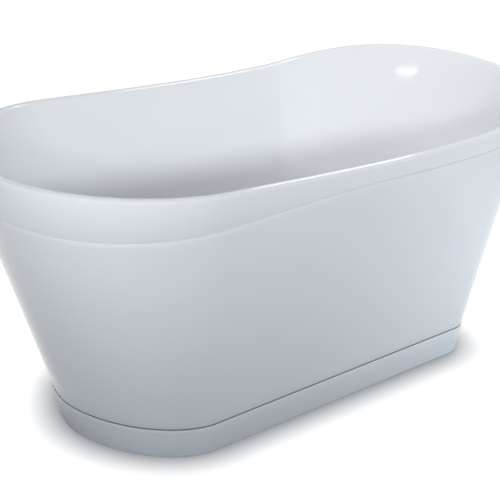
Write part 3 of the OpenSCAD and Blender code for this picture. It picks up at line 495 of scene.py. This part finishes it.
OVERFLOW_Z, OVERFLOW_HOLE_R, OVERFLOW_REACH = 530, 26, 20
FOOT_MIDDLE = END_STEPS + SIDE_STEPS + END_STEPS//2
foot_lean = wall_lean(FOOT_MIDDLE)
overflow_drop = rim_z(-HALF_LEN) - ROLL_R*(1 - math.sin(foot_lean)) - OVERFLOW_Z
overflow_x = -HALF_LEN + ROLL_R*(1 + math.cos(foot_lean)) + overflow_drop*math.tan(foot_lean)
overflow_at = Vector((overflow_x, 0, OVERFLOW_Z))
outwards = Vector((-math.cos(foot_lean), 0, -math.sin(foot_lean)))
cut_away(basin, [peg(overflow_at - OVERFLOW_REACH*outwards, overflow_at + OVERFLOW_REACH*outwards,
                     OVERFLOW_HOLE_R, segments=96)])
print("overflow at", tuple(round(v, 1) for v in overflow_at),
      "lean", round(math.degrees(foot_lean), 2))

# %% [markdown]
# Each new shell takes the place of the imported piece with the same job. It rides on the same body,
# so it moves with the pieces that are screwed to it.

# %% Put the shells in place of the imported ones
for piece, node in ((basin, "basin"), (skirt, "skirt"), (plinth, "plinth"),
                    (strip, "shadow_gap_strip"), (bead, "rim_joint_bead")):
    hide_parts(node)
    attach(piece, "tub")
print("shells ride on the tub")

# %% [markdown]
# A finish is a tone, a gloss and a fine relief. An image could give each, but a noise field made
# of nodes has no seams and no limit of detail. The fields use object coordinates, so they stay
# where they are when the camera moves. Each helper adds one kind of node and gives its output.

# %% Helpers for materials
def new_material(name):
    material = bpy.data.materials.new(name)
    material.use_nodes = True
    tree = material.node_tree
    return material, tree, tree.nodes["Principled BSDF"]


def object_place(tree):
    return tree.nodes.new("ShaderNodeTexCoord").outputs["Object"]


def noise(tree, scale, detail=3.0, roughness=0.5):
    node = tree.nodes.new("ShaderNodeTexNoise")
    node.inputs["Scale"].default_value = scale
    node.inputs["Detail"].default_value = detail
    node.inputs["Roughness"].default_value = roughness
    tree.links.new(object_place(tree), node.inputs["Vector"])
    return node.outputs["Fac"]


def cells(tree, scale, output="Color"):
    node = tree.nodes.new("ShaderNodeTexVoronoi")
    node.inputs["Scale"].default_value = scale
    tree.links.new(object_place(tree), node.inputs["Vector"])
    return node.outputs[output]


def ramp(tree, value, stops):
    """Colour ramp through (position, colour) stops. A grey may be given as one number."""
    node = tree.nodes.new("ShaderNodeValToRGB")
    elements = node.color_ramp.elements
    while len(elements) < len(stops):
        elements.new(0.5)
    for element, (position, colour) in zip(elements, stops):
        grey = isinstance(colour, (int, float))
        element.position = position
        element.color = (colour, colour, colour, 1) if grey else (*colour, 1)
    tree.links.new(value, node.inputs["Fac"])
    return node.outputs["Color"]


def bump(tree, height, strength, distance, after=None):
    node = tree.nodes.new("ShaderNodeBump")
    node.inputs["Strength"].default_value = strength
    node.inputs["Distance"].default_value = distance
    tree.links.new(height, node.inputs["Height"])
    if after:
        tree.links.new(after, node.inputs["Normal"])
    return node.outputs["Normal"]


# %% [markdown]
# Sanitary acrylic is a clear-looking white with a hard gloss. Its colour is almost even, but not
# quite: the sheet varies a little in tone where it was drawn, its gloss is a little uneven from
# wiping, and a very low, long ripple runs through the reflections. Noise fields, each at its own
# scale, give these.

# %% White acrylic
LIGHT_ACRYLIC, DARK_ACRYLIC = (0.80, 0.815, 0.834), (0.785, 0.80, 0.82)
white_acrylic, tree, shader = new_material("white_acrylic")
tone = ramp(tree, noise(tree, 2.2, detail=2.0), [(0.35, DARK_ACRYLIC), (0.65, LIGHT_ACRYLIC)])
tree.links.new(tone, shader.inputs["Base Color"])
wiped = ramp(tree, noise(tree, 9.0, detail=4.0, roughness=0.6), [(0.3, 0.06), (0.7, 0.09)])
tree.links.new(wiped, shader.inputs["Roughness"])
long_ripple = bump(tree, noise(tree, 6.0, detail=1.0), strength=0.06, distance=0.004)
peel = bump(tree, noise(tree, 420.0, detail=2.0), strength=0.03, distance=0.0002, after=long_ripple)
tree.links.new(peel, shader.inputs["Normal"])
shader.inputs["IOR"].default_value = 1.49
shader.inputs["Coat Weight"].default_value = 0.25
shader.inputs["Coat Roughness"].default_value = 0.05
finishes = {"acrylic": white_acrylic}
print("acrylic made of", len(tree.nodes), "nodes")

# %% [markdown]
# The pieces under the tub are bought parts: zinc-plated tube and nuts, white plastic waste
# fittings, black rubber, a chipboard panel. Zinc shows a faint crystal pattern, so its tone comes
# from Voronoi cells. Chipboard is cells of flat chips in several browns. Moulded plastic has a
# fine grain, and rubber has a dull, dusty one.

# %% Metals
def dress(tree, shader, tone, gloss, relief=None):
    """Link a tone, a gloss and a relief to the shader."""
    tree.links.new(tone, shader.inputs["Base Color"])
    tree.links.new(gloss, shader.inputs["Roughness"])
    if relief:
        tree.links.new(relief, shader.inputs["Normal"])


def zinc_plate():
    material, tree, shader = new_material("zinc_plate")
    spangle = ramp(tree, cells(tree, 95.0), [(0.2, (0.50, 0.52, 0.54)), (0.8, (0.66, 0.68, 0.70))])
    gloss = ramp(tree, noise(tree, 60.0, detail=4.0), [(0.3, 0.30), (0.7, 0.46)])
    dress(tree, shader, spangle, gloss,
          bump(tree, noise(tree, 260.0), strength=0.12, distance=0.0004))
    shader.inputs["Metallic"].default_value = 1.0
    return material


def polished_chrome():
    material, tree, shader = new_material("polished_chrome")
    tone = ramp(tree, noise(tree, 30.0), [(0.3, (0.78, 0.79, 0.81)), (0.7, (0.83, 0.84, 0.86))])
    gloss = ramp(tree, noise(tree, 110.0, detail=5.0), [(0.35, 0.04), (0.75, 0.11)])
    dress(tree, shader, tone, gloss)
    shader.inputs["Metallic"].default_value = 1.0
    return material


finishes["zinc_steel"], finishes["chrome"] = zinc_plate(), polished_chrome()
print("metals made")

# %% [markdown]
# Plastic, rubber and board aren't metal: their gloss is a weak white one over a coloured ground.
# What tells them apart by eye is how rough they are and how fine their grain is.

# %% Plastic, rubber and chipboard
def moulded_plastic():
    material, tree, shader = new_material("moulded_plastic")
    tone = ramp(tree, noise(tree, 14.0), [(0.3, (0.70, 0.71, 0.71)), (0.7, (0.76, 0.77, 0.77))])
    gloss = ramp(tree, noise(tree, 80.0), [(0.3, 0.38), (0.7, 0.50)])
    dress(tree, shader, tone, gloss,
          bump(tree, noise(tree, 900.0, detail=2.0), strength=0.15, distance=0.0002))
    return material


def black_rubber():
    material, tree, shader = new_material("black_rubber")
    tone = ramp(tree, noise(tree, 22.0, detail=5.0, roughness=0.65),
                [(0.35, (0.016, 0.016, 0.017)), (0.75, (0.034, 0.034, 0.035))])
    gloss = ramp(tree, noise(tree, 120.0), [(0.3, 0.70), (0.7, 0.85)])
    dress(tree, shader, tone, gloss,
          bump(tree, noise(tree, 700.0), strength=0.3, distance=0.0003))
    return material


def chipboard():
    material, tree, shader = new_material("chipboard")
    chips = ramp(tree, cells(tree, 170.0), [(0.15, (0.30, 0.20, 0.11)), (0.5, (0.46, 0.33, 0.19)),
                                            (0.85, (0.58, 0.44, 0.27))])
    gloss = ramp(tree, noise(tree, 40.0), [(0.3, 0.72), (0.7, 0.86)])
    dress(tree, shader, chips, gloss,
          bump(tree, cells(tree, 170.0, "Distance"), strength=0.35, distance=0.0006))
    return material


def dull_dark(name, low, high):
    """Dark tone between two tones: the cable's sheath is dark plastic, and on the strip the dark
    grey is painted seam shade.
    """
    material, tree, shader = new_material(name)
    tone = ramp(tree, noise(tree, 25.0, detail=4.0), [(0.3, low), (0.7, high)])
    gloss = ramp(tree, noise(tree, 90.0), [(0.3, 0.48), (0.7, 0.62)])
    dress(tree, shader, tone, gloss,
          bump(tree, noise(tree, 500.0, detail=2.0), strength=0.15, distance=0.0002))
    return material


finishes["waste_plastic"], finishes["rubber"], finishes["board"] = (
    moulded_plastic(), black_rubber(), chipboard())
# The strip's dark grey is painted shade that deepens the seam. The cable's sheath is dark of
# itself.
finishes["dark_strip"] = dull_dark("seam_shade_strip", low=(0.10, 0.105, 0.115),
                                   high=(0.13, 0.135, 0.145))
finishes["cable_sheath"] = dull_dark("cable_sheath", low=(0.014, 0.014, 0.016),
                                     high=(0.024, 0.024, 0.027))
print("finishes:", sorted(finishes))

# %% [markdown]
# The record gives each piece a material slot. One table from slot to finish dresses all of them,
# also those that are hardly ever seen, so that the object is whole when it's taken apart.

# %% Give every piece its finish
# The strip gets the dark grey finish, which is painted shade for the seam above the plinth.
for piece in (basin, skirt, plinth, bead, strip):
    piece.data.materials.clear()
    piece.data.materials.append(finishes["dark_strip" if piece == strip else "acrylic"])
for subpart in frame["record"]["subparts"]:
    node = frame["nodes"][subpart["node"]]
    for held in node.material_slots:
        held.link = "OBJECT"
        held.material = finishes[subpart["material_slot"]]

# %% [markdown]
# The levelling feet are bought parts too, and what tells them from plain rods is their thread.
# It could be faked with a bump, but the outline of a stud would stay straight. A lathe is used
# instead: it joins rows of points round an axis, and the radius may depend on the angle.

# %% A lathe
TURNED_SHARP = math.radians(38)


def lathe(name, rows, segments, ring):
    """Mesh from rows of (height, radius at an angle). A ring closes on itself, a rod gets caps."""
    bm = bmesh.new()
    angles = [2*math.pi*i/segments for i in range(segments)]
    loops = []
    for z, radius in rows:
        at = radius if callable(radius) else lambda a, r=radius: r
        loops.append([bm.verts.new(Vector((at(a)*math.cos(a), at(a)*math.sin(a), z))*MM)
                      for a in angles])
    pairs = list(zip(loops, loops[1:] + loops[:1]))
    for here, after in pairs if ring else pairs[:-1]:
        for i in range(segments):
            j = (i + 1) % segments
            bm.faces.new((here[i], here[j], after[j], after[i]))
    if not ring:
        bm.faces.new(loops[0])
        bm.faces.new(loops[-1])
    bmesh.ops.recalc_face_normals(bm, faces=bm.faces)
    mesh = bpy.data.meshes.new(name)
    bm.to_mesh(mesh)
    bm.free()
    mesh.shade_smooth()
    mesh.set_sharp_from_angle(angle=TURNED_SHARP)
    mesh.materials.append(finishes["zinc_steel"])
    print(name, len(mesh.polygons), "faces")
    return mesh


# %% [markdown]
# A thread is a groove that climbs one pitch a turn, so its radius depends on height and angle
# together. It runs out above the cup and tapers away at the tip. Below it the stud spreads into
# the cup that holds the rubber pad.

# %% Threaded stud
PITCH, CREST_R, ROOT_R = 1.75, 5.98, 5.05
FLAT_SHARE, TIP_CUT = 0.125, 0.4
CUP_TOP, STUD_TOP = 16, 134
CUP_ROWS = [(8, 24.4), (8.6, 25), (11.2, 25), (12, 24.2), (12, 17.3), (15.7, 10.1), (16, 9.4),
            (CUP_TOP, CREST_R)]
ROWS_PER_PITCH = 6


def thread_radius(z):
    """Radius of the thread at a height, as a function of the angle."""
    depth = (CREST_R - ROOT_R)*smooth((z - CUP_TOP - 1)/PITCH)
    limit = ROOT_R - TIP_CUT + STUD_TOP - z

    def radius(angle):
        phase = (z/PITCH - angle/(2*math.pi)) % 1
        groove = min(max((1 + 2*FLAT_SHARE)*abs(2*phase - 1) - FLAT_SHARE, 0), 1)
        return min(CREST_R - depth*(1 - groove), limit)
    return radius


thread_rows = int((STUD_TOP - CUP_TOP)/PITCH*ROWS_PER_PITCH)
heights = [mix(CUP_TOP, STUD_TOP, k/thread_rows) for k in range(1, thread_rows + 1)]
stud_mesh = lathe("threaded_stud", CUP_ROWS + [(z, thread_radius(z)) for z in heights],
                  segments=36, ring=False)

# %% [markdown]
# The same lathe makes the nuts: a hexagon whose corners are cut back by a cone at both faces,
# round a bore with a small countersink.

# %% Chamfered nuts
NUT_FLATS, NUT_FACE_R = 19, 9.0
NUT_CONE = ((0.25, 9.7), (0.6, 10.4), (1.0, 11))
NUT_BORE_R, COUNTERSINK = CREST_R + 0.1, 0.6


def hexagon(limit):
    """Radius of a hexagon with a corner at angle 0, cut back to a circle of the limit."""
    def radius(angle):
        from_flat = (angle % (math.pi/3)) - math.pi/6
        return min(NUT_FLATS/2/math.cos(from_flat), limit)
    return radius


def nut_rows(height):
    outer = [(0, NUT_FACE_R)] + [(z, hexagon(limit)) for z, limit in NUT_CONE]
    mouth = NUT_BORE_R + COUNTERSINK
    return (outer + [(height - z, r) for z, r in reversed(outer)]
            + [(height, mouth), (height - COUNTERSINK, NUT_BORE_R), (COUNTERSINK, NUT_BORE_R),
               (0, mouth)])


nut_meshes = {kind: lathe(kind + "_hexagon", nut_rows(height), segments=48, ring=True)
              for kind, height in (("adjuster_nut", 10), ("lock_nut", 6))}

# %% [markdown]
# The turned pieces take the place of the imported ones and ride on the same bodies, so a foot
# still slides and its nuts still turn.

# %% Dress the feet
def put_on_foot(node, mesh, body, from_floor):
    low, high = (Vector(corner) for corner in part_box(node))
    piece = bpy.data.objects.new(node + "_turned", mesh)
    bpy.context.scene.collection.objects.link(piece)
    piece.location = ((low.x + high.x)/2, (low.y + high.y)/2, 0 if from_floor else low.z)
    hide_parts(node)
    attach(piece, body)


for k in range(1, 6):
    put_on_foot(f"stud_{k}", stud_mesh, f"foot_{k}", from_floor=True)
    for kind, mesh in nut_meshes.items():
        put_on_foot(f"{kind}_{k}", mesh, f"nuts_{k}", from_floor=False)
print("feet dressed")

# %% [markdown]
# The camera stands a little above the rim, off the foot end, about three metres away with a
# long lens. The picture's centre isn't quite on the lens's axis, which is what the small shift
# says. The shift is small enough that other views still frame the tub.

# %% Camera
AZIMUTH, ELEVATION, TILT = math.radians(-37.3), math.radians(23.9), math.radians(-0.2)
DISTANCE, TARGET = 3.109, Vector((0, 0, 0.3088))
IMAGE_SIZE, FOCAL_PIXELS, SENSOR = 500, 1205, 36
AXIS_X, AXIS_Y = 261.8, 253.4
NEAREST, FARTHEST = 0.05, 60

camera_data = bpy.data.cameras.new("camera")
camera_data.sensor_width = SENSOR
camera_data.lens = FOCAL_PIXELS/IMAGE_SIZE*SENSOR
camera_data.shift_x = (IMAGE_SIZE/2 - AXIS_X)/IMAGE_SIZE
camera_data.shift_y = (AXIS_Y - IMAGE_SIZE/2)/IMAGE_SIZE
camera_data.clip_start, camera_data.clip_end = NEAREST, FARTHEST
camera = bpy.data.objects.new("camera", camera_data)
bpy.context.scene.collection.objects.link(camera)
back = Vector((math.sin(AZIMUTH)*math.cos(ELEVATION), -math.cos(AZIMUTH)*math.cos(ELEVATION),
               math.sin(ELEVATION)))
camera.location = TARGET + back*DISTANCE
look = (-back).to_track_quat("-Z", "Y").to_matrix().to_4x4()
camera.rotation_euler = (look @ Matrix.Rotation(TILT, 4, "Z")).to_euler()
bpy.context.scene.camera = camera
print("camera at", tuple(round(v, 3) for v in camera.location), "lens", round(camera_data.lens, 1))

# %% [markdown]
# Lamps are aimed by code, so that each one is a place, a target and a power. All of them are
# hidden from the camera, and nearly all from reflections, because a gloss wall would show each
# one as a streak. A spot has a soft lower edge: it's the light that grades a white wall.

# %% Helpers for lamps
WHITE, COOL = (1, 1, 1), (0.87, 0.95, 1.0)
RIM_MIDDLE = Vector((0.1, 0, 0.55))
KEY_DISTANCE, KEY_HEIGHT = 4.5, 17
HALF_CONE = 30
SPOT_SOFTNESS = 0.2


def add_lamp(name, kind, place, target, watts, colour=WHITE, reflected=False, roll=0):
    data = bpy.data.lights.new(name, kind)
    data.energy, data.color = watts, colour
    lamp = bpy.data.objects.new(name, data)
    bpy.context.scene.collection.objects.link(lamp)
    look = (Vector(target) - Vector(place)).to_track_quat("-Z", "Y").to_matrix()
    lamp.location = place
    lamp.rotation_euler = (look @ Matrix.Rotation(math.radians(roll), 3, "Z")).to_euler()
    lamp.visible_camera, lamp.visible_glossy = False, reflected
    return data


def panel(name, place, target, width, height, **how):
    data = add_lamp(name, "AREA", place, target, **how)
    data.shape, data.size, data.size_y = "RECTANGLE", width, height


def direction(azimuth, elevation):
    """Direction towards a place seen at an azimuth from -Y and an elevation, in degrees."""
    a, e = math.radians(azimuth), math.radians(elevation)
    return Vector((math.sin(a)*math.cos(e), -math.cos(a)*math.cos(e), math.sin(e)))


def graded_spot(name, azimuth, low, fade, watts):
    """Spot whose lower edge lies `low` degrees under the level and fades in over `fade` degrees."""
    place = RIM_MIDDLE + direction(azimuth, KEY_HEIGHT)*KEY_DISTANCE
    data = add_lamp(name, "SPOT", place, place - direction(azimuth, low - HALF_CONE), watts)
    inner, outer = math.cos(math.radians(HALF_CONE - fade)), math.cos(math.radians(HALF_CONE))
    data.spot_size, data.spot_blend = math.radians(2*HALF_CONE), (inner - outer)/(1 - outer)
    data.shadow_soft_size = SPOT_SOFTNESS


# %% [markdown]
# White on white is lit by contrast of level and not of colour, and a studio grades a white wall
# from top to bottom by cutting the light off below. A small key stands low in front, so that it
# shines over the near rim and leaves the lower part of the far wall in its shadow. Four spots
# have their lower edge on the tub: they light the rim and the band fully and fade out down the
# skirt.

# %% Key and spots
KEY_AZIMUTH = -20
panel("key", RIM_MIDDLE + direction(KEY_AZIMUTH, KEY_HEIGHT)*KEY_DISTANCE, RIM_MIDDLE,
      width=0.55, height=0.45, watts=48, colour=COOL)
graded_spot("key_spot", KEY_AZIMUTH, low=29, fade=10, watts=152)
graded_spot("corner_spot", -55, low=25, fade=7, watts=80)
graded_spot("foot_spot", -90, low=27, fade=8, watts=90)
graded_spot("band_spot", -62, low=20.6, fade=2.5, watts=62)

# %% [markdown]
# Weak panels fill in from both ends, from above and from behind, and three low ones light the far
# side, which this view doesn't show. Two lamps are left in the reflections on purpose: the panel
# over the backrest draws a thin line on the near rim, and one small box shows high on the backrest.

# %% Fills and reflections
panel("foot_fill", RIM_MIDDLE + direction(-90, 50)*2, RIM_MIDDLE, width=0.8, height=0.8, watts=4)
panel("foot_low", (-1.6, -0.6, 0.3), (-0.6, -0.1, 0.4), width=0.4, height=0.4, watts=2.9,
      colour=COOL)
panel("backrest_low", (0.9, -1.0, 0.08), (0.5, -0.25, 0.45), width=0.3, height=0.3, watts=5.0,
      colour=COOL)
panel("backrest_fill", (1.0, -0.1, 1.9), (0.6, 0, 0.6), width=0.55, height=0.55, watts=8.0,
      reflected=True)
panel("wall_fill", (0.2, -0.9, 1.5), (0.55, 0.3, 0.6), width=0.4, height=0.4, watts=2.0)
panel("rear_fill", (0, 1.6, 1.6), (0, 0, 0.6), width=1.6, height=0.6, watts=10)
panel("small_box", (-1.04, 0.53, 2.44), (0.657, 0.167, 0.646), width=0.48, height=0.025,
      watts=0.4, reflected=True, roll=5.3)
REAR_MIDDLE = Vector((0, 0, 0.36))
for azimuth in (105, 145, 185):
    panel(f"far_side_{azimuth}", REAR_MIDDLE + direction(azimuth, 2)*3, REAR_MIDDLE,
          width=0.7, height=0.5, watts=16)

# %% [markdown]
# The room is white to the camera and in reflections. To every other ray it's dim, so that it
# doesn't flatten the grading. A real studio gets this with a large paper roll that is lit apart
# from the object, and the Light Path node does it without a second set of lamps.

# %% The room
ROOM_DIM, ROOM_WHITE = (0.02, 0.03, 0.042, 1), (1, 1, 1, 1)


def seen_directly(tree):
    """1 for rays of the camera, of reflections and of refractions, and 0 for all others."""
    path = tree.nodes.new("ShaderNodeLightPath")
    seen = path.outputs["Is Camera Ray"]
    for kind in ("Is Glossy Ray", "Is Transmission Ray"):
        either = tree.nodes.new("ShaderNodeMath")
        either.operation = "MAXIMUM"
        tree.links.new(seen, either.inputs[0])
        tree.links.new(path.outputs[kind], either.inputs[1])
        seen = either.outputs[0]
    return seen


world = bpy.data.worlds.new("studio")
world.use_nodes = True
bpy.context.scene.world = world
sky = world.node_tree
room = sky.nodes.new("ShaderNodeMix")
room.data_type = "RGBA"
room.inputs["A"].default_value = ROOM_DIM
room.inputs["B"].default_value = ROOM_WHITE
sky.links.new(seen_directly(sky), room.inputs["Factor"])
sky.links.new(room.outputs["Result"], sky.nodes["Background"].inputs["Color"])
sky.nodes["Background"].inputs["Strength"].default_value = 1.0
print("room of", len(sky.nodes), "nodes")

# %% [markdown]
# The floor is white in the same way. Its white is held back close to the plinth, where less of
# the sky reaches it: that is the tight contact shadow. A small part of its tone is plain lit
# colour, which keeps the longer shadows of the lamps too.

# %% Floor
FLOOR_REACH = 30
CONTACT_WIDTH = 0.085
CONTACT_SAMPLES = 32
LIT_TONE = (0.14, 0.153, 0.168, 1)
CONTACT_TONE, OPEN_TONE = (0.26, 0.265, 0.275), (0.97, 0.97, 0.97)
corners = [(x*FLOOR_REACH, y*FLOOR_REACH, 0) for x, y in ((-1, -1), (1, -1), (1, 1), (-1, 1))]
floor_mesh = bpy.data.meshes.new("floor")
floor_mesh.from_pydata(corners, [], [(0, 1, 2, 3)])
floor = bpy.data.objects.new("floor", floor_mesh)
bpy.context.scene.collection.objects.link(floor)
floor_material, tree, shader = new_material("pale_floor")
shader.inputs["Roughness"].default_value = 0.7
shader.inputs["Specular IOR Level"].default_value = 0.1
shader.inputs["Base Color"].default_value = LIT_TONE
openness = tree.nodes.new("ShaderNodeAmbientOcclusion")
openness.inputs["Distance"].default_value = CONTACT_WIDTH
openness.samples = CONTACT_SAMPLES
glow = ramp(tree, openness.outputs["AO"], [(0.42, CONTACT_TONE), (1.0, OPEN_TONE)])
tree.links.new(glow, shader.inputs["Emission Color"])
tree.links.new(seen_directly(tree), shader.inputs["Emission Strength"])
floor_mesh.materials.append(floor_material)

bpy.context.scene.view_settings.view_transform = "Standard"
print("floor and room made")
